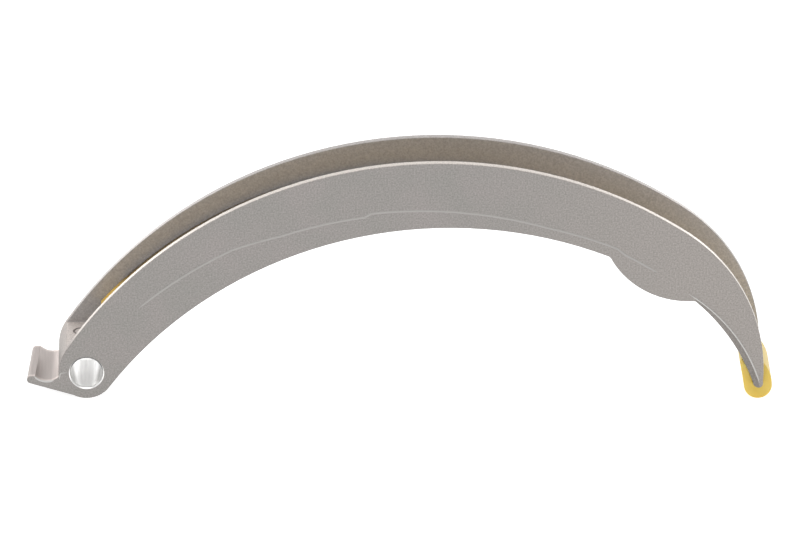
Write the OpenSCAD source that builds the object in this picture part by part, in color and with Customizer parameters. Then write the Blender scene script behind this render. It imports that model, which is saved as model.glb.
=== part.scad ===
// Timing chain guide: an arched die-cast aluminium rail that swings on a pivot pin,
// with a moulded polyamide lining that the chain slides along.
// The pivot bore's axis lies along Y through the origin. X runs along the rail, Z is up.

/* [Pivot] */
// Diameter of the pivot bore
bore_d = 10; // [6:0.5:12]
// Width of the chamfer at both mouths of the bore
bore_chamfer = 0.45; // [0.1:0.05:0.8]
// Outside diameter of the boss round the bore
boss_d = 17.2; // [16:0.2:18.6]
// Distance from the pivot to the rail's rounded end
end_reach = 8.75; // [8.7:0.05:9.6]
// Radius of that end
end_r = 14.5; // [11:0.1:16]

/* [Rail] */
// Width of the rail over both flanges
rail_w = 23; // [18:0.5:32]
// Thickness of each flange
flange_t = 2.2; // [1.6:0.1:3.5]
// Distance along X from the pivot to the crown of the arch
crown_x = 109.8; // [98:0.1:122]
// Height of the crown above the pivot
crown_z = 71.9; // [64:0.1:80]
// Distance along X from the crown to the tip of the rail
tail_reach = 102.1; // [94:0.1:112]
// Radius of the crest where the rail turns down to its tip
tail_r = 57.4; // [50:0.2:70]

/* [Underside] */
// Height of the rail at its crown, crest to lower edge
rail_depth = 21.8; // [20:0.1:25]
// Distance that the lower edge's own crown lies beyond the crest's
belly_shift = 3.7; // [0:0.1:8]
// Thickness of the web under the lining
web_t = 3.5; // [2.5:0.1:5]
// Radius of the solid metal left round the pivot
hub_r = 14; // [12:0.5:18]

/* [Tensioner pad] */
// Distance along X from the crown to the middle of the pad
pad_reach = 77.6; // [72:0.1:82]
// Depth of the pad's face below the crest
pad_depth = 22.4; // [20:0.1:25]
// Radius of the pad's rounded face
pad_r = 27.9; // [24:0.1:32]
// Distance from the middle of the pad to the start of the tail's lower edge
pad_run = 2.2; // [1:0.1:4]
// Radius of the fillets at both ends of the pad
pad_fillet = 2; // [0.5:0.1:3]

/* [Tail] */
// Radius of the tail's lower edge
tail_low_r = 69.3; // [55:0.1:90]
// Thickness of the tail at its rounded tip
tip_t = 3.15; // [2.4:0.05:4]
// Distance from the crest's lowest upright point down to the middle of the tip
tip_drop = 3.4; // [2:0.1:5]
// Width of the bevel along the tail's lower edges, at the tip
bevel_w = 1.8; // [0.8:0.1:2.4]
// Height of that bevel where it starts at the pad
bevel_start = 1.2; // [0.6:0.1:1.8]
// Radius of the bevel's upper edge
bevel_r = 56; // [50:0.5:64]
// Depth of the bevel at the tip
bevel_d = 0.6; // [0.2:0.05:1]

/* [Stop lug] */
// Distance from the pivot to the free end of the lug, at the middle of its width
lug_reach = 17.8; // [16:0.05:21]
// Angle by which the lug is turned about the upright through the pivot
lug_turn = 4; // [0.5:0.5:6]
// Radius of the lug's rounded lip
lip_r = 1.35; // [1:0.05:1.8]
// Depth of the lip's centre below the pivot
lip_drop = 2.35; // [1.5:0.05:3.5]
// Radius of the lug's hollow seat
saddle_r = 5; // [4.6:0.1:7]
// Thickness of the lug under its seat
lug_t = 2.5; // [2:0.05:3]
// Distance from the pivot to the middle of the seat
saddle_x = 11.5; // [11:0.05:12.5]

/* [Channel] */
// Depth of the channel over the lining at the crown
channel_depth = 8.9; // [6:0.1:11]
// Amount by which the running face's radius is less than the crest's
run_ease = 3.7; // [0:0.1:6]
// Distance that the running face's crown lies short of the crest's
run_shift = 3.3; // [0:0.1:6]
// Height of the flat floor over the pivot
floor_z = 8.1; // [7.8:0.1:8.6]
// Diameter of the round ejector mark on that floor
mark_d = 5.6; // [4:0.1:5.8]
// Depth of the mark's groove, which is also half its width
mark_depth = 0.25; // [0.1:0.05:0.4]
// Distance from the pivot to the middle of the mark
mark_x = 1.4; // [1.3:0.1:2.4]
// Distance from the middle of the rail's width to the middle of the mark
mark_y = 2.5; // [0:0.1:4]

/* [Lining] */
// Thickness of the lining
lining_t = 2.8; // [2:0.1:4]
// Radius of the running face where it turns down to the tip
run_tail_r = 50; // [46:0.5:54]
// Least depth of the strip's face below the flanges' rims, up to its shoulder
rim_sink = 0.9; // [0.7:0.05:1]
// Radius of the shoulder where the lining comes out over the tip
shoulder_r = 12.1; // [10:0.1:13]
// Distance along the rail from the pivot to the lining's end
lining_start = 15.4; // [12:0.1:24]
// Clearance between the lining and the metal it seats on
seat_gap = 0.1; // [0.05:0.05:0.3]
// Clearance between the lining and each flange
side_gap = 0.2; // [0.1:0.05:0.5]
// Radius of the hook's nose
nose_r = 4.4; // [4:0.05:6]
// Distance that the nose's centre lies below the middle of the tip
nose_drop = 1.8; // [0.5:0.05:2.2]
// Height of the hook's leg above the middle of the tip
leg_h = 6.3; // [4:0.1:9]
// Thickness of the leg's rounded end
leg_t = 1.6; // [0.8:0.05:2]

/* [Hidden] */
$fn = 360;
far = 400;
slack = 1;
// Overlap of neighbouring arcs, so that they cross at a clear point.
tuck = 0.02;
boss_r = boss_d / 2;
bore_r = bore_d / 2;
channel_w = rail_w - 2 * flange_t;
lining_w = channel_w - 2 * side_gap;

// The crest is an arc through the crown that runs smoothly into the rail's end round the pivot,
// then a tighter arc that turns upright at the tip.
end_c = [end_r - end_reach, 0];
crest_run = crown_x - end_c.x;
crest_on = end_r - tuck;
crest_r = (pow(crest_run, 2) + pow(crown_z, 2) - pow(crest_on, 2)) / (2 * (crown_z - crest_on));
crest_c = [crown_x, crown_z - crest_r];
tip_x = crown_x + tail_reach;
tail_away = crest_r - tail_r + tuck;
tail_turn = asin((tail_reach - tail_r) / tail_away);
tail_c = crest_c + tail_away * [sin(tail_turn), cos(tail_turn)];
tip_z = tail_c.y - tip_drop;

// The lower edge is an arc that runs smoothly off the boss.
belly_x = crown_x + belly_shift;
belly_z = crown_z - rail_depth;
belly_on = boss_r - tuck;
belly_r = (pow(belly_x, 2) + pow(belly_z, 2) - pow(belly_on, 2)) / (2 * (belly_z + belly_on));
belly_c = [belly_x, belly_z - belly_r];

// The pad hangs a set depth below the crest.
pad_x = crown_x + pad_reach;
crest_over_pad = pad_x < tail_c.x + tail_r * sin(tail_turn)
    ? crest_c.y + sqrt(pow(crest_r, 2) - pow(pad_x - crest_c.x, 2))
    : tail_c.y + sqrt(pow(tail_r, 2) - pow(pad_x - tail_c.x, 2));
pad_z = crest_over_pad - pad_depth;
pad_c = [pad_x, pad_z + pad_r];

// The tail's lower edge is an arc from the pad's end to the tip.
tail_low_c = arc_centre([tip_x - tip_t + tuck, tip_z], [pad_x + pad_run, pad_z], tail_low_r);
bevel_c = arc_centre([tip_x - tip_t + bevel_w, tip_z], [pad_x + pad_run, pad_z + bevel_start], bevel_r);
tip_r = tip_t / 2;
tip_c = [tip_x - tip_r, tip_z];

// The running face follows the crest, and stands clear of it at the tip.
run_r = crest_r - run_ease;
run_c = [crown_x - run_shift, crown_z - channel_depth - run_r];
run_tip_x = tip_x + lining_t;
run_away = run_r - run_tail_r + tuck;
run_turn = asin((run_tip_x - run_tail_r - run_c.x) / run_away);
run_tail_c = run_c + run_away * [sin(run_turn), cos(run_turn)];
floor_drop = lining_t + seat_gap;
lining_turn = atan2(run_c.x, -run_c.y) - lining_start / run_r * 180 / PI;

// The hook's nose goes round the tip, and its leg lies along the tail's lower edge.
nose_c = [run_tip_x + side_gap - nose_r, tip_z - nose_drop];
shoulder_c = [nose_c.x + nose_r - shoulder_r - tuck, nose_c.y];
leg_z = tip_z + leg_h;
leg_c = [tail_low_c.x + sqrt(pow(tail_low_r, 2) - pow(leg_z - tail_low_c.y, 2)), leg_z];

// The lug's lip and hollow seat. Its underside enters the boss at a clear angle.
lip_c = [-lug_reach + lip_r, -lip_drop];
root_r = boss_r - 0.4;
lug_under = tangent_below(lip_c, lip_r - tuck, [0, 0], root_r);
seat_low = line_z(lug_under[0], lug_under[1], -saddle_x) + lug_t;
saddle_c = [-saddle_x, seat_low + saddle_r];

// Centre of an arc of radius r from p to q that bulges away from the origin's side.
function arc_centre(p, q, r) =
    let (half = (q - p) / 2, h = norm(half), across = [half.y, -half.x] / h)
    p + half - sqrt(r * r - h * h) * across;

// The point where two circles meet, on the left of the way from a to b or, for side -1, on its right.
function circles_meet(a, ra, b, rb, side) =
    let (d = norm(b - a), u = (b - a) / d, along = (d * d + ra * ra - rb * rb) / (2 * d))
    a + along * u + side * sqrt(ra * ra - along * along) * [-u.y, u.x];

// The two points where a straight line touches two circles from below, left one first.
function tangent_below(a, ra, b, rb) =
    let (d = b - a, lean = atan2(d.y, d.x) + asin((ra - rb) / norm(d)))
    let (down = [sin(lean), -cos(lean)])
    [a + ra * down, b + rb * down];

function unit(v) = v / norm(v);

// Height of the line through p and q at x.
function line_z(p, q, x) = p.y + (q.y - p.y) * (x - p.x) / (q.x - p.x);

// Extrude a side outline across the rail's width.
module across(w) {
    rotate([90, 0, 0]) linear_extrude(height = w, center = true) children();
}

module disc(c, r) {
    translate(c) circle(r);
}

// Everything on the left of a line through c that leans clockwise by turn.
module left_of(c, turn) {
    translate(c) rotate(-turn) translate([-far, -far]) square([far, 2 * far]);
}

module above(z) {
    translate([-far, z]) square([2 * far, far]);
}

module right_of(x) {
    translate([x, -far]) square([far, 2 * far]);
}

// A long arc that passes smoothly into a tighter one towards the tip.
module two_arcs(c, r, turn, tail_c, tail_r) {
    intersection() {
        disc(c, r);
        left_of(c, turn);
    }
    disc(tail_c, tail_r);
}

module crest_2d(drop = 0) {
    two_arcs(crest_c, crest_r - drop, tail_turn, tail_c, tail_r - drop);
}

module running_2d(drop = 0) {
    two_arcs(run_c, run_r - drop, run_turn, run_tail_c, run_tail_r - drop);
}

// The hollow under the arch: one arc up to the pad, another from the pad to the tip.
module hollow_2d(grow = 0) {
    difference() {
        disc(belly_c, belly_r);
        right_of(pad_x);
    }
    intersection() {
        disc(tail_low_c, tail_low_r - grow);
        right_of(pad_x);
    }
}

// Fillet between the pad and the lower edge of centre c and radius r, on one side of the pad.
module pad_fillet_2d(c, r, side) {
    corner = circles_meet(c, r, pad_c, pad_r, side);
    middle = circles_meet(c, r - pad_fillet, pad_c, pad_r + pad_fillet, side);
    on_edge = c + r * unit(middle - c);
    on_pad = pad_c + pad_r * unit(middle - pad_c);
    difference() {
        polygon([middle, on_edge, 2 * corner - middle, on_pad]);
        disc(middle, pad_fillet + tuck);
    }
}

// All that lies past the pivot, between the ends of the crest and of the lower edge.
module past_pivot_2d() {
    polygon([end_c, end_c - far * unit(crest_c - end_c), [-far, -far], far * unit(belly_c), [0, 0]]);
}

module below_tip_2d() {
    difference() {
        right_of(crown_x);
        above(tip_z);
    }
}

// The arch from the pivot to its rounded tip, with the tensioner pad on its lower edge.
module arch_2d() {
    difference() {
        crest_2d();
        past_pivot_2d();
        below_tip_2d();
        difference() {
            hollow_2d();
            disc(pad_c, pad_r);
            pad_fillet_2d(belly_c, belly_r, 1);
            pad_fillet_2d(tail_low_c, tail_low_r, -1);
        }
    }
    disc(tip_c, tip_r);
}

// The tail under the lining, grown by a clearance, as the hook has to clear it.
module tail_2d(grow) {
    intersection() {
        running_2d(floor_drop - grow);
        union() {
            difference() {
                intersection() {
                    above(tip_z);
                    right_of(pad_x);
                }
                hollow_2d(grow);
            }
            disc(tip_c, tip_r + grow);
        }
    }
}

// The rounded end over the pivot and the boss.
module pivot_end_2d() {
    difference() {
        intersection() {
            disc(end_c, end_r);
            above(seat_low - lug_t / 2);
        }
        right_of(end_c.x);
    }
    disc([0, 0], boss_r);
}

// Side outline of the hooked lug, with its lip and hollow seat.
module lug_2d() {
    disc(lip_c, lip_r);
    difference() {
        polygon([lip_c + [0, lip_r - tuck], lip_c, lug_under[0], lug_under[1], [0, 0]]);
        disc(saddle_c, saddle_r);
    }
}

// The lug, turned about the upright through the pivot and cut flush with the rail's sides.
module stop_lug() {
    intersection() {
        rotate(-lug_turn) across(1.5 * rail_w) lug_2d();
        across(rail_w) left_of([0, 0], 0);
    }
}

// The channel for the chain and its lining, open at its top and at the pivot end.
module channel_2d() {
    difference() {
        union() {
            above(floor_z);
            right_of(crown_x);
        }
        running_2d(floor_drop);
    }
}

// The cored hollow below the web, between the solid hub and the pad.
module trough_2d() {
    difference() {
        intersection() {
            disc(run_c, run_r - floor_drop - web_t);
            right_of(0);
        }
        right_of(pad_x);
        disc([0, 0], hub_r);
        disc(pad_c, pad_r);
    }
}

// Bevel along one side of the tail's lower edge, revolved about the centre of its own upper edge.
module tail_bevel() {
    from = atan2(tip_z - tip_t - bevel_c.y, tip_x - bevel_c.x);
    to = atan2(pad_z - bevel_c.y, pad_x + pad_run - bevel_c.x);
    edge = rail_w / 2;
    low = bevel_r - bevel_w - slack;
    translate([bevel_c.x, 0, bevel_c.y]) rotate([90, 0, 0]) rotate(from)
        rotate_extrude(angle = to - from)
            polygon([
                [low, edge - bevel_d * (bevel_r - low) / bevel_w],
                [bevel_r, edge],
                [bevel_r, edge + slack],
                [low, edge + slack]
            ]);
}

module pivot_bore() {
    rotate([90, 0, 0]) {
        cylinder(h = rail_w + 2 * slack, r = bore_r, center = true);
        for (side = [0, 1]) mirror([0, 0, side]) translate([0, 0, rail_w / 2 - bore_chamfer])
            cylinder(h = bore_chamfer + slack, r1 = bore_r, r2 = bore_r + bore_chamfer + slack);
    }
}

// Groove that an ejector pin leaves in the floor.
module ejector_mark() {
    translate([-mark_x, mark_y, floor_z]) rotate_extrude()
        translate([mark_d / 2 - mark_depth, 0]) circle(mark_depth);
}

module rail_casting() {
    color([0.62, 0.61, 0.6]) difference() {
        union() {
            across(rail_w) arch_2d();
            across(rail_w) pivot_end_2d();
            stop_lug();
        }
        across(channel_w) channel_2d();
        across(channel_w) trough_2d();
        pivot_bore();
        ejector_mark();
        for (side = [0, 1]) mirror([0, side, 0]) tail_bevel();
    }
}

// The strip that the chain slides along, from its end near the pivot down to the nose.
// It stays below the flanges' rims until its shoulder comes out over the tip.
module strip_2d() {
    difference() {
        intersection() {
            union() {
                intersection() {
                    running_2d();
                    crest_2d(rim_sink);
                }
                disc(shoulder_c, shoulder_r);
            }
            above(nose_c.y);
        }
        running_2d(lining_t);
        left_of(run_c, -lining_turn);
    }
}

// The flat side of the leg, from the nose up to the leg's rounded end.
module leg_2d() {
    polygon([nose_c - [nose_r, 0], leg_c - [leg_t, 0], leg_c, nose_c]);
}

module slide_lining() {
    color([0.93, 0.8, 0.43]) difference() {
        union() {
            across(lining_w) strip_2d();
            across(lining_w) disc(nose_c, nose_r);
            across(lining_w) disc(leg_c, leg_t);
            across(lining_w) leg_2d();
        }
        across(rail_w) tail_2d(seat_gap);
    }
}

rail_casting();
slide_lining();
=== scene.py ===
# %% [markdown]
# # A timing chain guide
# An engine's timing chain slides over this arched rail. The rail is one aluminium die casting that swings
# on a pin, and a yellow polyamide lining lies in its channel as the running face. The CAD model already has
# both shapes at their real size, so this lesson gives them rounded edges, the marks that a die leaves,
# true materials and a studio.

# %% Load the CAD frame
import math
import bmesh
import bpy
from mathutils import Euler, Matrix, Vector


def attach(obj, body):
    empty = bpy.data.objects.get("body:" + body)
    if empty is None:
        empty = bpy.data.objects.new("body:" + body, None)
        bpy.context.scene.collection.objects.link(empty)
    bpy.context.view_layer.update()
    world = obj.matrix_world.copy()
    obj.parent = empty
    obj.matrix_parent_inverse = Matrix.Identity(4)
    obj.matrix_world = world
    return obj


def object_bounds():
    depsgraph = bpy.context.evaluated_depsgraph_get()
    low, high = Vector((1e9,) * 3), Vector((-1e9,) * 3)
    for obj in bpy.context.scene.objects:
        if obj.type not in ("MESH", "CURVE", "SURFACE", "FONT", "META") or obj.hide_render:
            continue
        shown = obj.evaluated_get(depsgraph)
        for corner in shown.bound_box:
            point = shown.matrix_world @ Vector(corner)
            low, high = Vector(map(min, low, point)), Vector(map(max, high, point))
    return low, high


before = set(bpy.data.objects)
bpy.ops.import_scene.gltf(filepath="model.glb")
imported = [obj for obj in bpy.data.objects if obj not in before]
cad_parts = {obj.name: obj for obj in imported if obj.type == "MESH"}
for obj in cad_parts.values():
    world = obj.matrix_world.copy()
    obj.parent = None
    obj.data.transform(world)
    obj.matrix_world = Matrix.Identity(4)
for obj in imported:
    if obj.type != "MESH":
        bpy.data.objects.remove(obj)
cad_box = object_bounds()
MM = 0.001
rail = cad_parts["rail_casting"]
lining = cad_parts["slide_lining"]
print("CAD box in mm:", [[round(v / MM, 1) for v in corner] for corner in cad_box])

# %% [markdown]
# ## Camera
# The photograph was taken from far away with a long lens, since the near and the far flange look almost the
# same size. A camera could be placed by eye, but here it is placed by its direction, its distance and the
# point it looks at, because each of them can then be corrected by itself. A slight roll completes it, since
# the part doesn't lie quite level in the picture.

# %% Place the camera
VIEW_AZIMUTH = math.radians(-2.17)
VIEW_ELEVATION = math.radians(23.96)
VIEW_ROLL = math.radians(1.16)
VIEW_DISTANCE = 2800 * MM
VIEW_AIM = Vector((97.3, -11.5, 37.0)) * MM
SENSOR_WIDTH = 36  # mm
LENS = 405         # mm
SIGHT = 50         # metres, past everything in the studio

camera_data = bpy.data.cameras.new("camera")
camera_data.sensor_width = SENSOR_WIDTH
camera_data.lens = LENS
camera_data.clip_end = SIGHT
camera = bpy.data.objects.new("camera", camera_data)
heading = Euler((math.pi / 2 - VIEW_ELEVATION, 0, VIEW_AZIMUTH)).to_matrix()
turn = heading @ Matrix.Rotation(VIEW_ROLL, 3, "Z")
stand = VIEW_AIM + turn @ Vector((0, 0, VIEW_DISTANCE))
camera.matrix_world = Matrix.Translation(stand) @ turn.to_4x4()
bpy.context.scene.collection.objects.link(camera)
bpy.context.scene.camera = camera
print("camera at", [round(v, 3) for v in stand], "metres")

# %% [markdown]
# ## Helpers for materials
# A picture's colours are sRGB values, and Blender's shaders work with linear light, so one function turns a
# hex colour into linear light. Another adds a node, sets it and links it. Nodes could be added by hand in the
# editor, but in code a material reads as a list, and each of its numbers has a name.

# %% Colours
def linear(hex_colour):
    channels = [int(hex_colour[start:start + 2], 16) / 255 for start in (1, 3, 5)]
    light = [c / 12.92 if c <= 0.04045 else ((c + 0.055) / 1.055) ** 2.4 for c in channels]
    return (*light, 1.0)


print("middle grey is", round(linear("#808080")[0], 3), "in linear light")


# %% Nodes and new materials
def set_inputs(node, inputs):
    for name, value in inputs.items():
        if isinstance(value, bpy.types.Node):
            value = next(socket for socket in value.outputs if socket.enabled)
        if isinstance(value, bpy.types.NodeSocket):
            node.id_data.links.new(value, node.inputs[name])
        else:
            node.inputs[name].default_value = value


def add_node(tree, kind, inputs=None, **settings):
    node = tree.nodes.new(kind)
    for name, value in settings.items():
        setattr(node, name, value)
    set_inputs(node, inputs or {})
    return node


def new_material(name):
    material = bpy.data.materials.new(name)
    material.use_nodes = True
    return material, material.node_tree.nodes["Principled BSDF"]


print("an input may be a number, a colour, a socket or a node, which gives its first output in use")

# %% [markdown]
# ## Studio
# A part like this is photographed on a lit table: a sheet of white acrylic that glows from below, so that
# the picture has no shadow. The rest is soft boxes. An even white room would be simpler, but rough metal
# shows a blurred picture of what is around it. So the side of the rail takes its tone from the table in
# front, and its upper edges take theirs from the bright boxes behind.

# %% Lit table
WHITE = (1, 1, 1, 1)
TABLE_SIZE = 12  # metres, so that its edges never show
TABLE_GREY = linear("#BCBCBC")
TABLE_ROUGHNESS = 0.9
TABLE_GLOW = 0.85

half = TABLE_SIZE / 2
table_z = cad_box[0][2]
corners = [(-half, -half), (half, -half), (half, half), (-half, half)]
table_mesh = bpy.data.meshes.new("lit_table")
table_mesh.from_pydata([(x, y, table_z) for x, y in corners], [], [(0, 1, 2, 3)])
table = bpy.data.objects.new("lit_table", table_mesh)
bpy.context.scene.collection.objects.link(table)
# Opal acrylic, lit from below: an even white with no gloss and no shadow.
white_acrylic, shader = new_material("white_acrylic")
set_inputs(shader, {
    "Base Color": TABLE_GREY, "Roughness": TABLE_ROUGHNESS,
    "Emission Color": WHITE, "Emission Strength": TABLE_GLOW})
table_mesh.materials.append(white_acrylic)
print("table at", round(table_z / MM, 2), "mm")

# %% Room light
ROOM_LIGHT = 0.55

# Standard shows each colour as it is set, without a film's curve.
bpy.context.scene.view_settings.view_transform = "Standard"
world = bpy.data.worlds.new("studio")
world.use_nodes = True
set_inputs(world.node_tree.nodes["Background"], {"Color": WHITE, "Strength": ROOM_LIGHT})
bpy.context.scene.world = world
print("room light", ROOM_LIGHT)

# %% Soft boxes
# Azimuth and elevation in degrees, then distance, width and height in metres, and brightness.
SOFT_BOXES = {
    "box_overhead": (0, 82, 1.8, 1.8, 1.3, 1.15),
    "box_behind": (0, 32, 2.0, 2.2, 0.9, 0.65),
    "strip_behind": (0, 6, 2.0, 3.4, 0.5, 2.3),
    "box_front": (180, 62, 2.0, 1.8, 1.2, 2.0),
    "box_left": (-90, 28, 2.0, 1.4, 1.2, 1.35),
}
part_middle = (Vector(cad_box[0]) + Vector(cad_box[1])) / 2


def soft_box(name, azimuth, elevation, distance, width, height, brightness):
    data = bpy.data.lights.new(name, "AREA")
    data.shape = "RECTANGLE"
    data.size = width
    data.size_y = height
    data.energy = brightness * math.pi * width * height
    box = bpy.data.objects.new(name, data)
    around, above = math.radians(azimuth), math.radians(elevation)
    outward = Vector((math.sin(around), math.cos(around), 0))
    away = outward * math.cos(above) + Vector((0, 0, math.sin(above)))
    box.location = part_middle + away * distance
    box.rotation_euler = (-away).to_track_quat("-Z", "Y").to_euler()
    bpy.context.scene.collection.objects.link(box)


for name, numbers in SOFT_BOXES.items():
    soft_box(name, *numbers)
print("soft boxes:", ", ".join(SOFT_BOXES))

# %% [markdown]
# ## Rounded edges
# A casting has no sharp edges. They could be modelled, but the frame's meshes stay as they are, so modifiers
# round them: Weld joins the faces, Decimate and Triangulate give flat areas a clean net, and Bevel rounds the
# clear edges. Shallow edges, such as that of the tail's bevel, are too slight to round, so a small node group
# marks them as creases. Weighted Normal then keeps the large faces flat.

# %% Mark creases
CREASE_ANGLE = math.radians(12)

creases = bpy.data.node_groups.new("mark_creases", "GeometryNodeTree")
creases.interface.new_socket("Geometry", in_out="INPUT", socket_type="NodeSocketGeometry")
creases.interface.new_socket("Geometry", in_out="OUTPUT", socket_type="NodeSocketGeometry")
arriving = add_node(creases, "NodeGroupInput")
edge = add_node(creases, "GeometryNodeInputMeshEdgeAngle")
soft = add_node(creases, "FunctionNodeCompare", {
    0: edge.outputs["Unsigned Angle"], 1: CREASE_ANGLE}, operation="LESS_THAN")
marked = add_node(creases, "GeometryNodeSetShadeSmooth", {
    "Geometry": arriving, "Shade Smooth": soft}, domain="EDGE")
add_node(creases, "NodeGroupOutput", {0: marked})
print(creases.name, "keeps edges over", round(math.degrees(CREASE_ANGLE)), "degrees")

# %% Round the edges
CASTING_EDGE = 0.2 * MM
MOULDING_EDGE = 0.3 * MM
ROUND_STEPS = 3
ROUND_ANGLE = math.radians(28)
WELD_GAP = 0.002 * MM
FLAT_ANGLE = math.radians(0.3)


def round_edges(piece, radius):
    weld = piece.modifiers.new("weld", "WELD")
    weld.merge_threshold = WELD_GAP
    flat = piece.modifiers.new("flat_faces", "DECIMATE")
    flat.decimate_type = "DISSOLVE"
    flat.angle_limit = FLAT_ANGLE
    piece.modifiers.new("triangles", "TRIANGULATE")
    bevel = piece.modifiers.new("round_edges", "BEVEL")
    bevel.width = radius
    bevel.segments = ROUND_STEPS
    bevel.limit_method = "ANGLE"
    bevel.angle_limit = ROUND_ANGLE
    bevel.use_clamp_overlap = False
    bevel.loop_slide = False
    piece.modifiers.new("creases", "NODES").node_group = creases
    normals = piece.modifiers.new("flat_normals", "WEIGHTED_NORMAL")
    normals.keep_sharp = True


round_edges(rail, CASTING_EDGE)
round_edges(lining, MOULDING_EDGE)
print("edges rounded on", rail.name, "and", lining.name)

# %% [markdown]
# ## Die-cast aluminium, blasted: where things are
# The casting was blasted with fine grit after the die, so its sides are an even light grey. Some places
# differ: the bore is machined and bright, the rims of the flanges are trimmed and smoother, the lug's seat is
# milled, and the inside of the channel keeps the duller, warmer skin from the die. Each could have a material
# of its own, but all of them are one metal on one mesh. So one material tells them apart by where they are on
# the part, in millimetres, and by the way they face.

# %% Position and direction on the casting
def place_on_part(tree):
    coords = add_node(tree, "ShaderNodeTexCoord")
    in_mm = add_node(tree, "ShaderNodeVectorMath", {
        0: coords.outputs["Object"], "Scale": 1 / MM}, operation="SCALE")
    return in_mm, add_node(tree, "ShaderNodeSeparateXYZ", {0: in_mm})


# Aluminium under a blasted skin: light grey, with a fine grain and a broad, soft sheen.
cast_aluminium, shader = new_material("blasted_die_cast_aluminium")
tree = cast_aluminium.node_tree
in_mm, place = place_on_part(tree)
geometry = add_node(tree, "ShaderNodeNewGeometry")
facing = add_node(tree, "ShaderNodeSeparateXYZ", {0: geometry.outputs["Normal"]})
across = add_node(tree, "ShaderNodeMath", {0: place.outputs["Y"]}, operation="ABSOLUTE")
side_on = add_node(tree, "ShaderNodeMath", {0: facing.outputs["Y"]}, operation="ABSOLUTE")
print("X runs along the rail, Y across it and Z up, in mm from the pivot")

# %% The bore and the lug's seat
BORE_REACH = 5.5       # mm from the pin's middle, with the bore's chamfer
ROUND_PIN = (1, 0, 1)  # leaves out Y, which runs along the pin
LUG_START = -8.4       # mm along the rail

flattened = add_node(tree, "ShaderNodeVectorMath", {0: in_mm, 1: ROUND_PIN}, operation="MULTIPLY")
from_pin = add_node(tree, "ShaderNodeVectorMath", {0: flattened}, operation="LENGTH")
in_bore = add_node(tree, "ShaderNodeMath", {0: from_pin, 1: BORE_REACH}, operation="LESS_THAN")
on_lug = add_node(tree, "ShaderNodeMath", {0: place.outputs["X"], 1: LUG_START}, operation="LESS_THAN")
on_seat = add_node(tree, "ShaderNodeMath", {0: on_lug, 1: facing.outputs["Z"]}, operation="MULTIPLY")
print("bore up to", BORE_REACH, "mm from the pin, lug before", LUG_START, "mm")

# %% The channel's inside
SIDE_Y = cad_box[1][1] / MM      # mm from the middle plane to the rail's side
FLANGE_THICKNESS = 2.2           # mm
SKIN_END, SKIN_FULL = 0.2, 0.02  # mm past the channel's wall
WALL_FACING = 0.5                # the normal's share along Y, from which a face is a wall
flange_inner = SIDE_Y - FLANGE_THICKNESS
CHANNEL = {"From Min": flange_inner + SKIN_END, "From Max": flange_inner + SKIN_FULL}
FLOOR_START = {"From Min": 2, "From Max": 6}  # mm along the rail, where the floor's skin starts

in_channel = add_node(tree, "ShaderNodeMapRange", {"Value": across, **CHANNEL})
past_end = add_node(tree, "ShaderNodeMapRange", {"Value": place.outputs["X"], **FLOOR_START})
on_wall = add_node(tree, "ShaderNodeMath", {0: side_on, 1: WALL_FACING}, operation="GREATER_THAN")
skinned = add_node(tree, "ShaderNodeMath", {0: past_end, 1: on_wall}, operation="MAXIMUM")
inside = add_node(tree, "ShaderNodeMath", {0: in_channel, 1: skinned}, operation="MULTIPLY")
print("channel within", round(flange_inner, 2), "mm of the middle")

# %% The flanges' rims
RIM_FACING = {"From Min": 0.75, "From Max": 0.35}  # the normal's share along Y, small on a rim
RIM_START = {"From Min": -5.5, "From Max": -1.5}   # mm along the rail, where the trimming starts

rim_face = add_node(tree, "ShaderNodeMapRange", {"Value": side_on, **RIM_FACING})
outside = add_node(tree, "ShaderNodeMath", {0: 1.0, 1: in_channel}, operation="SUBTRACT")
on_edge = add_node(tree, "ShaderNodeMath", {0: rim_face, 1: outside}, operation="MULTIPLY")
trimmed = add_node(tree, "ShaderNodeMapRange", {"Value": place.outputs["X"], **RIM_START})
on_rim = add_node(tree, "ShaderNodeMath", {0: on_edge, 1: trimmed}, operation="MULTIPLY")
print("rims trimmed from", RIM_START["From Max"], "mm on")

# %% [markdown]
# ## Die-cast aluminium: grain and streaks
# Grit leaves small pits with light and dark sides, and it strikes some patches longer. A cutter leaves
# streaks instead, along the bore and across the lug's seat. A picture of such a surface could be wrapped
# round the part, but noise in millimetres needs no unwrapping and has the right scale everywhere.

# %% Grain, patches and streaks
GRAIN = 0.5   # mm; real blasting leaves about 0.2 mm, drawn coarser so that it shows
PATCH = 12    # mm, where the grit struck longer
STREAK = 0.7  # mm between the cutter's streaks, drawn coarser than they are
ALONG_STREAK = (1, 0.04, 1)  # stretches the noise along Y
FINE_DETAIL, SOFT_DETAIL = 3.0, 2.0  # finer layers that a noise has

grain = add_node(tree, "ShaderNodeTexNoise", {"Vector": in_mm, "Scale": 1 / GRAIN, "Detail": FINE_DETAIL})
patches = add_node(tree, "ShaderNodeTexNoise", {"Vector": in_mm, "Scale": 1 / PATCH, "Detail": SOFT_DETAIL})
stretched = add_node(tree, "ShaderNodeVectorMath", {0: in_mm, 1: ALONG_STREAK}, operation="MULTIPLY")
streaks = add_node(tree, "ShaderNodeTexNoise", {
    "Vector": stretched, "Scale": 1 / STREAK, "Detail": SOFT_DETAIL})
print("grain", GRAIN, "mm, patches", PATCH, "mm, streaks", STREAK, "mm")

# %% Light and dark in the grain
NOISE = {"From Min": 0.3, "From Max": 0.7}  # where most of a noise's values lie
SPECKLE = {"To Min": 0.82, "To Max": 1.18}
STREAK_TONE = {"To Min": 0.93, "To Max": 1.06}
NUMBER_A, NUMBER_B = 2, 3  # the Mix node's sockets for two numbers

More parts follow.
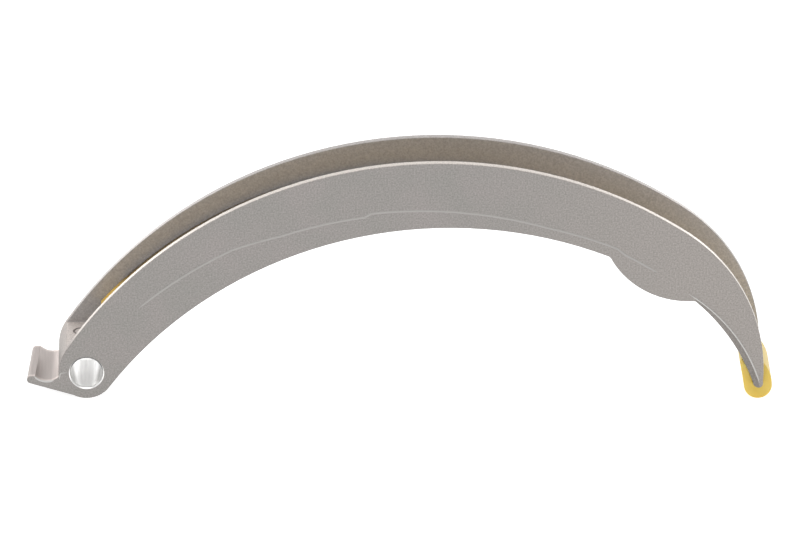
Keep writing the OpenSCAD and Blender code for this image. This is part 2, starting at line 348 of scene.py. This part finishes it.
streaky = add_node(tree, "ShaderNodeMath", {0: on_seat, 1: in_bore}, operation="MAXIMUM")
speckle = add_node(tree, "ShaderNodeMapRange", {"Value": grain, **NOISE, **SPECKLE})
streak_tone = add_node(tree, "ShaderNodeMapRange", {"Value": streaks, **NOISE, **STREAK_TONE})
tone = add_node(tree, "ShaderNodeMix", {"Factor": streaky, NUMBER_A: speckle, NUMBER_B: streak_tone})
print("speckle from", SPECKLE["To Min"], "to", SPECKLE["To Max"])

# %% [markdown]
# ## Die-cast aluminium: colour
# The greys are close to each other: the sides are cool, with warmer patches and a lighter tail, and what
# faces up is warmer and lighter, which is painted light from above. They could be painted on by hand, but
# here each cell lays one finish over the one before through a mask, because a finish can then be corrected
# without touching the others.

# %% Blasted sides and upward faces
SIDE_GREY = linear("#91908C")
SIDE_GREY_WARM = linear("#9C9694")
TAIL_GREY = linear("#9D9894")
# painted light: faces that look up are drawn lighter and warmer, and level floors lighter still
UPWARD_PAINTED_LIGHT = linear("#ADA5A0")
LEVEL_PAINTED_LIGHT = linear("#C8C0BB")
TAIL_START = {"From Min": 120, "From Max": 190}  # mm along the rail
UPWARD = {"From Min": 0.1, "From Max": 0.5}      # the normal's share along Z, from which a face looks up
LEVEL = {"From Min": 0.9, "From Max": 0.99}      # the same for a floor
COLOUR_A, COLOUR_B = 6, 7  # the Mix node's sockets for two colours

sides = add_node(tree, "ShaderNodeMix", {
    "Factor": patches, COLOUR_A: SIDE_GREY, COLOUR_B: SIDE_GREY_WARM}, data_type="RGBA")
to_tail = add_node(tree, "ShaderNodeMapRange", {"Value": place.outputs["X"], **TAIL_START})
tail = add_node(tree, "ShaderNodeMix", {
    "Factor": to_tail, COLOUR_A: sides, COLOUR_B: TAIL_GREY}, data_type="RGBA")
upward = add_node(tree, "ShaderNodeMapRange", {"Value": facing.outputs["Z"], **UPWARD})
tops = add_node(tree, "ShaderNodeMix", {
    "Factor": upward, COLOUR_A: tail, COLOUR_B: UPWARD_PAINTED_LIGHT}, data_type="RGBA")
level = add_node(tree, "ShaderNodeMapRange", {"Value": facing.outputs["Z"], **LEVEL})
floor = add_node(tree, "ShaderNodeMix", {
    "Factor": level, COLOUR_A: tops, COLOUR_B: LEVEL_PAINTED_LIGHT}, data_type="RGBA")
print("blasted greys laid,", len(tree.nodes), "nodes so far")

# %% Trimmed rims and milled seat
RIM_GREY = linear("#CBC4BD")
# painted shade: the back rims are drawn a duller grey than the front ones
RIM_PAINTED_SHADE_BACK = linear("#AAA5A2")
MILLED = linear("#BFB6B2")
TOWARDS_BACK = {"From Min": -5, "From Max": 5}  # mm across the rail, whose back rim is duller

to_back = add_node(tree, "ShaderNodeMapRange", {"Value": place.outputs["Y"], **TOWARDS_BACK})
rim_tone = add_node(tree, "ShaderNodeMix", {
    "Factor": to_back, COLOUR_A: RIM_GREY, COLOUR_B: RIM_PAINTED_SHADE_BACK}, data_type="RGBA")
rims = add_node(tree, "ShaderNodeMix", {
    "Factor": on_rim, COLOUR_A: floor, COLOUR_B: rim_tone}, data_type="RGBA")
milled = add_node(tree, "ShaderNodeMix", {
    "Factor": on_seat, COLOUR_A: rims, COLOUR_B: MILLED}, data_type="RGBA")
print("rims and seat laid,", len(tree.nodes), "nodes so far")

# %% Cast skin and machined bore
CAST_SKIN = linear("#A5A19F")
# painted light: the channel's skin is drawn lighter towards the tail, where the channel is shallower and less
# shaded
CAST_SKIN_PAINTED_LIGHT = linear("#AFAAA8")
MACHINED = linear("#FAF9F7")

skin_tone = add_node(tree, "ShaderNodeMix", {
    "Factor": to_tail, COLOUR_A: CAST_SKIN, COLOUR_B: CAST_SKIN_PAINTED_LIGHT}, data_type="RGBA")
skin = add_node(tree, "ShaderNodeMix", {
    "Factor": inside, COLOUR_A: milled, COLOUR_B: skin_tone}, data_type="RGBA")
bored = add_node(tree, "ShaderNodeMix", {
    "Factor": in_bore, COLOUR_A: skin, COLOUR_B: MACHINED}, data_type="RGBA")
print("skin and bore laid,", len(tree.nodes), "nodes so far")

# %% [markdown]
# ## Die-cast aluminium: painted shade and light
# Shade is painted here: faces that look down are drawn darker, the bore's upper wall most, and so is the
# groove of the ejector mark. Light is painted on the lug's seat, brighter up its rise towards the bore and
# along its edges. More colours could be laid for all this, but factors are simpler, because they darken or
# brighten whatever lies under them.

# %% Painted shade on faces that look down
# painted shade: faces that look down keep less of their tone, the bore's upper wall least, and past the pad
# so do faces that look back towards the pivot
PAD_END = 184  # mm along the rail, past which a face that looks back to the pivot counts too
DOWNWARD = {"From Min": -0.3, "From Max": -0.05}  # the normal's share along Z
KEPT_CAST, KEPT_BORE = 0.68, 0.2  # what a face that looks down keeps of its tone

past_pad = add_node(tree, "ShaderNodeMath", {0: place.outputs["X"], 1: PAD_END}, operation="GREATER_THAN")
tail_back = add_node(tree, "ShaderNodeMath", {0: facing.outputs["X"], 1: past_pad}, operation="MULTIPLY")
hidden = add_node(tree, "ShaderNodeMath", {0: facing.outputs["Z"], 1: tail_back}, operation="MINIMUM")
kept = add_node(tree, "ShaderNodeMix", {"Factor": in_bore, NUMBER_A: KEPT_CAST, NUMBER_B: KEPT_BORE})
painted_shade_below = add_node(tree, "ShaderNodeMapRange", {"Value": hidden, **DOWNWARD, "To Min": kept})
print("faces that look down keep", KEPT_CAST, "of their tone")

# %% Painted shade in the ejector mark's groove
MARK_MIDDLE = (-1.4, 2.5, 8.1)  # mm
MARK_RADIUS = 2.55              # mm, to the middle of its groove
GROOVE_HALF = {"From Min": 0.2, "From Max": 0.34}  # mm from the groove's middle
GROOVE_SHADE = {"To Min": 0.5}          # what the painted shade leaves of the tone

from_mark = add_node(tree, "ShaderNodeVectorMath", {0: in_mm, 1: MARK_MIDDLE}, operation="DISTANCE")
past_groove = add_node(tree, "ShaderNodeMath", {0: from_mark, 1: MARK_RADIUS}, operation="SUBTRACT")
off_groove = add_node(tree, "ShaderNodeMath", {0: past_groove}, operation="ABSOLUTE")
painted_groove_shade = add_node(tree, "ShaderNodeMapRange", {"Value": off_groove, **GROOVE_HALF, **GROOVE_SHADE})
darkened = add_node(tree, "ShaderNodeMath", {0: painted_shade_below, 1: painted_groove_shade}, operation="MULTIPLY")
print("soot in a ring of", 2 * MARK_RADIUS, "mm")

# %% Painted light on the lug's seat
# painted light: the seat is drawn darker in its hollow, brighter up its rise towards the bore and brighter
# along its edges
SEAT_RISE = {"From Min": -11, "From Max": -8.8}  # mm along the rail, up towards the bore
RISE_TONE = {"To Min": 0.85, "To Max": 1.45}
SEAT_EDGE_HIGHLIGHT = {"From Min": 10, "From Max": 11}   # mm from the middle plane
EDGE_TONE = {"To Min": 1.0, "To Max": 1.4}
PLAIN_TONE = 1.0

rise_tone = add_node(tree, "ShaderNodeMapRange", {"Value": place.outputs["X"], **SEAT_RISE, **RISE_TONE})
edge_tone = add_node(tree, "ShaderNodeMapRange", {"Value": across, **SEAT_EDGE_HIGHLIGHT, **EDGE_TONE})
seat_tone = add_node(tree, "ShaderNodeMath", {0: rise_tone, 1: edge_tone}, operation="MULTIPLY")
painted_seat_light = add_node(tree, "ShaderNodeMix", {"Factor": on_seat, NUMBER_A: PLAIN_TONE, NUMBER_B: seat_tone})
print("seat brighter up to", RISE_TONE["To Max"], "times towards the bore")

# %% All tones together
painted_light_and_shade = add_node(tree, "ShaderNodeMath", {0: darkened, 1: painted_seat_light}, operation="MULTIPLY")
shade = add_node(tree, "ShaderNodeMath", {0: tone, 1: painted_light_and_shade}, operation="MULTIPLY")
colour = add_node(tree, "ShaderNodeVectorMath", {0: bored, "Scale": shade}, operation="SCALE")
set_inputs(shader, {"Base Color": colour})
print("colour made of", len(tree.nodes), "nodes")

# %% [markdown]
# ## Die-cast aluminium: gloss and grain
# Bare metal is fully metallic. Where grit or the die's skin covers it, the surface scatters light as paint
# does, so the upward faces and the skin are less metallic. Machined and trimmed faces are smoother than
# blasted ones. The pits could be real dents, but they are far too small, so a little bump stands for them. It
# comes from the grain's own noise, which keeps the pits and their tones together.

# %% How metallic each finish is
METAL_BLASTED = 1.0
METAL_UPWARD = 0.5
METAL_BARE = 1.0
METAL_SKIN = 0.1

metal_top = add_node(tree, "ShaderNodeMix", {
    "Factor": upward, NUMBER_A: METAL_BLASTED, NUMBER_B: METAL_UPWARD})
metal_rim = add_node(tree, "ShaderNodeMix", {"Factor": on_rim, NUMBER_A: metal_top, NUMBER_B: METAL_BARE})
metal_seat = add_node(tree, "ShaderNodeMix", {"Factor": on_seat, NUMBER_A: metal_rim, NUMBER_B: METAL_BARE})
metal = add_node(tree, "ShaderNodeMix", {"Factor": inside, NUMBER_A: metal_seat, NUMBER_B: METAL_SKIN})
set_inputs(shader, {"Metallic": metal})
print("cast skin is", METAL_SKIN, "metallic")

# %% How rough each finish is
ROUGH_BLASTED = 0.55
ROUGH_RIM = 0.36
ROUGH_SEAT = 0.52
ROUGH_SKIN = 0.62
ROUGH_BORE = 0.32

rough_rim = add_node(tree, "ShaderNodeMix", {
    "Factor": on_rim, NUMBER_A: ROUGH_BLASTED, NUMBER_B: ROUGH_RIM})
rough_seat = add_node(tree, "ShaderNodeMix", {"Factor": on_seat, NUMBER_A: rough_rim, NUMBER_B: ROUGH_SEAT})
rough_skin = add_node(tree, "ShaderNodeMix", {"Factor": inside, NUMBER_A: rough_seat, NUMBER_B: ROUGH_SKIN})
rough = add_node(tree, "ShaderNodeMix", {"Factor": in_bore, NUMBER_A: rough_skin, NUMBER_B: ROUGH_BORE})
set_inputs(shader, {"Roughness": rough})
print("blasted roughness", ROUGH_BLASTED, "and machined roughness", ROUGH_BORE)

# %% Pits of the grain
PIT_STRENGTH = 0.35
PIT_DEPTH = 0.05 * MM

pits = add_node(tree, "ShaderNodeBump", {"Height": grain, "Strength": PIT_STRENGTH, "Distance": PIT_DEPTH})
set_inputs(shader, {"Normal": pits})
rail.material_slots[0].material = cast_aluminium
print(cast_aluminium.name, "has", len(tree.nodes), "nodes")

# %% [markdown]
# ## Parting line
# Where the halves of the die meet, a little metal is squeezed out, and trimming leaves a low bead along the
# side of the casting. It follows the arch, with small jogs where the die's inserts join, fades out over the
# pad and goes on along the tail. A texture could only paint it, so it is a real half-round ridge, swept along
# the arc and sunk slightly into the side.

# %% Trimmed flash
FLASH_MIDDLE = 90  # mm along the rail
FLASH_ENDS = {"From Min": 94, "From Max": 100}  # mm from there
FLASH_DULL = linear("#9F9C99")
# painted highlight: the bead is drawn brighter towards both ends
FLASH_PAINTED_HIGHLIGHT = linear("#BFBDBA")
FLASH_METAL = 0.5
FLASH_ROUGHNESS = 0.45

# Aluminium cut by a trimming tool: a thin line, dull along the arch, with a painted highlight towards both
# ends.
trimmed_flash, shader = new_material("trimmed_aluminium_flash")
tree = trimmed_flash.node_tree
in_mm, place = place_on_part(tree)
past_middle = add_node(tree, "ShaderNodeMath", {
    0: place.outputs["X"], 1: FLASH_MIDDLE}, operation="SUBTRACT")
off_middle = add_node(tree, "ShaderNodeMath", {0: past_middle}, operation="ABSOLUTE")
brighter = add_node(tree, "ShaderNodeMapRange", {"Value": off_middle, **FLASH_ENDS})
flash_tone = add_node(tree, "ShaderNodeMix", {
    "Factor": brighter, COLOUR_A: FLASH_DULL, COLOUR_B: FLASH_PAINTED_HIGHLIGHT}, data_type="RGBA")
set_inputs(shader, {"Base Color": flash_tone, "Metallic": FLASH_METAL, "Roughness": FLASH_ROUGHNESS})
print(trimmed_flash.name, "has", len(tree.nodes), "nodes")

# %% A bead's cross-sections
BEAD_SUNK = 0.05   # mm into the side
BEAD_LEAST = 0.05  # the share of its size that a bead keeps at its ends
BEAD_FACES = 6


def bead_rings(mesh, path, side, width, height, taper):
    run = [0.0]
    for here, there in zip(path, path[1:]):
        run.append(run[-1] + (there - here).length)
    out = Vector((0, side, 0))
    angles = [math.pi * count / BEAD_FACES for count in range(BEAD_FACES + 1)]
    rings = []
    for index, point in enumerate(path):
        along = (path[min(index + 1, len(path) - 1)] - path[max(index - 1, 0)]).normalized()
        sideways = along.cross(out)
        size = max(BEAD_LEAST, min(1, run[index] / taper, (run[-1] - run[index]) / taper))
        dome = [(width / 2 * math.cos(angle), height * size * math.sin(angle)) for angle in angles]
        spots = [(width / 2, -BEAD_SUNK), *dome, (-width / 2, -BEAD_SUNK)]
        base = point + out * SIDE_Y
        ring = [base + sideways * beside * size + out * proud for beside, proud in spots]
        rings.append([mesh.verts.new(corner * MM) for corner in ring])
    return rings


print("a bead has", BEAD_FACES, "faces over its dome")


# %% Sweep a bead along a path
def bead(name, path, side, width, height, taper):
    mesh = bmesh.new()
    rings = bead_rings(mesh, path, side, width, height, taper)
    for ring, following in zip(rings, rings[1:]):
        for index in range(len(ring)):
            after = (index + 1) % len(ring)
            mesh.faces.new((ring[index], ring[after], following[after], following[index]))
    mesh.faces.new(rings[0])
    mesh.faces.new(rings[-1][::-1])
    bmesh.ops.recalc_face_normals(mesh, faces=mesh.faces)
    data = bpy.data.meshes.new(name)
    mesh.to_mesh(data)
    mesh.free()
    data.shade_smooth()
    data.materials.append(trimmed_flash)
    piece = bpy.data.objects.new(name, data)
    bpy.context.scene.collection.objects.link(piece)
    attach(piece, "root")


print("beads take the finish", trimmed_flash.name)

# %% Path along the arch
PARTING_CENTRE = (106.2, -81.4)  # mm
PARTING_RADIUS = 137.05          # mm
SWEEP_STEP = 1.5                 # mm between a path's points
# Each jog has its place along the rail and its distance from the arc, in mm.
JOGS = [(15.9, 0.3), (45, 0.9), (60, -0.6), (86, -0.6), (88, 0.4), (143, -0.3),
        (165, 0.8), (167.5, 0.0), (178, -0.25)]


def on_parting_arc(x, rise):
    radius = PARTING_RADIUS + rise
    return Vector((x, 0, PARTING_CENTRE[1] + math.sqrt(radius ** 2 - (x - PARTING_CENTRE[0]) ** 2)))


arch_path = []
for (start_x, start_rise), (end_x, end_rise) in zip(JOGS, JOGS[1:]):
    count = round((end_x - start_x) / SWEEP_STEP)
    for share in [index / count for index in range(count)]:
        x = start_x + (end_x - start_x) * share
        arch_path.append(on_parting_arc(x, start_rise + (end_rise - start_rise) * share))
arch_path.append(on_parting_arc(*JOGS[-1]))
print("arch path of", len(arch_path), "points")

# %% Path along the tail
TAIL_CENTRE = (157.3, -19.0)  # mm
TAIL_RADIUS = 56.0            # mm
TAIL_TURN = (57.5, 17)        # degrees


def arc_path(centre, radius, start, end, step):
    first, last = math.radians(start), math.radians(end)
    count = round(abs(last - first) * radius / step)
    angles = [first + (last - first) * index / count for index in range(count + 1)]
    spots = [(radius * math.cos(angle), radius * math.sin(angle)) for angle in angles]
    return [Vector((centre[0] + x, 0, centre[1] + z)) for x, z in spots]


tail_path = arc_path(TAIL_CENTRE, TAIL_RADIUS, *TAIL_TURN, SWEEP_STEP)
print("tail path of", len(tail_path), "points")

# %% Parting line on both sides
FRONT, BACK = -1, 1
# Width, height and length of the tapered ends, in mm.
ARCH_BEAD = (0.7, 0.06, 3.0)
TAIL_BEAD = (0.5, 0.22, 3.0)

for side, word in ((FRONT, "front"), (BACK, "back")):
    bead("parting_line_" + word, arch_path, side, *ARCH_BEAD)
    bead("parting_line_tail_" + word, tail_path, side, *TAIL_BEAD)
print("parting line on the front and the back")

# %% [markdown]
# ## Marks round the pivot
# Two small things catch the light at the pivot end. The cutter that milled the lug's hollow seat rolled a
# burr over its edges, and an insert of the die left a short stepped ridge beside the bore. Both could be
# painted, but they stand out from the side, so they are beads too.

# %% Burr along the lug's seat
SEAT_RADIUS = 5.3       # mm
SEAT_HEIGHT = 2.32      # mm over the pivot, the middle of the seat's arc
SEAT_TURN = (218, 295)  # degrees
SEAT_STEP = 0.5         # mm
SEAT_BEAD = (0.6, 0.15, 1.0)
# The lug is turned a little, so its seat lies further out on the front.
SEAT_MIDDLES = ((FRONT, "front", -12.33), (BACK, "back", -10.72))

for side, word, middle in SEAT_MIDDLES:
    seat_path = arc_path((middle, SEAT_HEIGHT), SEAT_RADIUS, *SEAT_TURN, SEAT_STEP)
    bead("seat_burr_" + word, seat_path, side, *SEAT_BEAD)
print("burr of", len(seat_path), "points on each side")

# %% Step beside the bore
# Each corner has its place along the rail and its height, in mm from the pivot.
STEP_CORNERS = [(-5.75, 0.1), (-6.8, 0.1), (-7.9, 0), (-8.25, -0.5), (-8.4, -1.4), (-8.45, -2.4)]
STEP_BEAD = (0.35, 0.1, 0.8)

bead("insert_step_front", [Vector((x, 0, z)) for x, z in STEP_CORNERS], FRONT, *STEP_BEAD)
print("step of", len(STEP_CORNERS), "points")

# %% [markdown]
# ## Moulded polyamide
# The lining is nylon with a yellow pigment, moulded in one piece. Down in the channel its running face is
# drawn darker and browner, with a dark band along both walls: that is painted shade, while the hook round
# the tip keeps its plain yellow. Paint could give these colours, but not the pale, slightly translucent
# edges. Subsurface scattering gives those, and the moulded skin has a soft gloss.

# %% Colour of the polyamide
NYLON_YELLOW = linear("#D4B135")
NYLON_PALE = linear("#DCC568")
# painted shade: the running face down in the channel is drawn darker and browner than the hook
NYLON_CHANNEL_SHADE = linear("#CBA64B")
FLOW = 9  # mm, the width of the streaks that the melt leaves
RUN = {"From Min": 205, "From Max": 150}  # mm along the rail, from the hook to the running face

# Nylon: a warm yellow with a satin gloss, paler where light shines through it.
polyamide, shader = new_material("moulded_polyamide")
tree = polyamide.node_tree
in_mm, place = place_on_part(tree)
flow = add_node(tree, "ShaderNodeTexNoise", {"Vector": in_mm, "Scale": 1 / FLOW, "Detail": SOFT_DETAIL})
plain_yellow = add_node(tree, "ShaderNodeMix", {
    "Factor": flow, COLOUR_A: NYLON_YELLOW, COLOUR_B: NYLON_PALE}, data_type="RGBA")
on_run = add_node(tree, "ShaderNodeMapRange", {"Value": place.outputs["X"], **RUN})
channel_shaded = add_node(tree, "ShaderNodeMix", {
    "Factor": on_run, COLOUR_A: plain_yellow, COLOUR_B: NYLON_CHANNEL_SHADE}, data_type="RGBA")
print("yellow past", RUN["From Min"], "mm, browned before", RUN["From Max"], "mm")

# %% Painted shade along the walls
# painted shade: a dark band where the lining meets the channel's walls
NYLON_WALL_SHADE = linear("#544733")
WALL_SHADE_EDGE = {"From Min": 5.5, "From Max": 7.5}  # mm from the middle plane
WALL_SHADE_START = {"From Min": 8, "From Max": 13}    # mm along the rail

across = add_node(tree, "ShaderNodeMath", {0: place.outputs["Y"]}, operation="ABSOLUTE")
at_edge = add_node(tree, "ShaderNodeMapRange", {"Value": across, **WALL_SHADE_EDGE})
past_start = add_node(tree, "ShaderNodeMapRange", {"Value": place.outputs["X"], **WALL_SHADE_START})
along_wall = add_node(tree, "ShaderNodeMath", {0: at_edge, 1: past_start}, operation="MULTIPLY")
wall_shade = add_node(tree, "ShaderNodeMath", {0: along_wall, 1: on_run}, operation="MULTIPLY")
shaded_lining = add_node(tree, "ShaderNodeMix", {
    "Factor": wall_shade, COLOUR_A: channel_shaded, COLOUR_B: NYLON_WALL_SHADE}, data_type="RGBA")
set_inputs(shader, {"Base Color": shaded_lining})
print("grime from", WALL_SHADE_EDGE["From Min"], "mm outwards")

# %% Gloss and skin of the polyamide
SKIN = 0.4  # mm, the mould's spark-eroded skin, drawn coarser than it is
SKIN_STRENGTH = 0.2
SKIN_DEPTH = 0.03 * MM
NYLON_ROUGHNESS = 0.42
NYLON_IOR = 1.53
SCATTER = 0.25
SCATTER_COLOURS = (1.0, 0.7, 0.25)  # red light goes furthest
SCATTER_DEPTH = 2 * MM

eroded = add_node(tree, "ShaderNodeTexNoise", {"Vector": in_mm, "Scale": 1 / SKIN, "Detail": SOFT_DETAIL})
bump = add_node(tree, "ShaderNodeBump", {"Height": eroded, "Strength": SKIN_STRENGTH, "Distance": SKIN_DEPTH})
set_inputs(shader, {
    "Normal": bump, "Roughness": NYLON_ROUGHNESS, "IOR": NYLON_IOR, "Subsurface Weight": SCATTER,
    "Subsurface Radius": SCATTER_COLOURS, "Subsurface Scale": SCATTER_DEPTH})
lining.material_slots[0].material = polyamide
print(polyamide.name, "has", len(tree.nodes), "nodes")
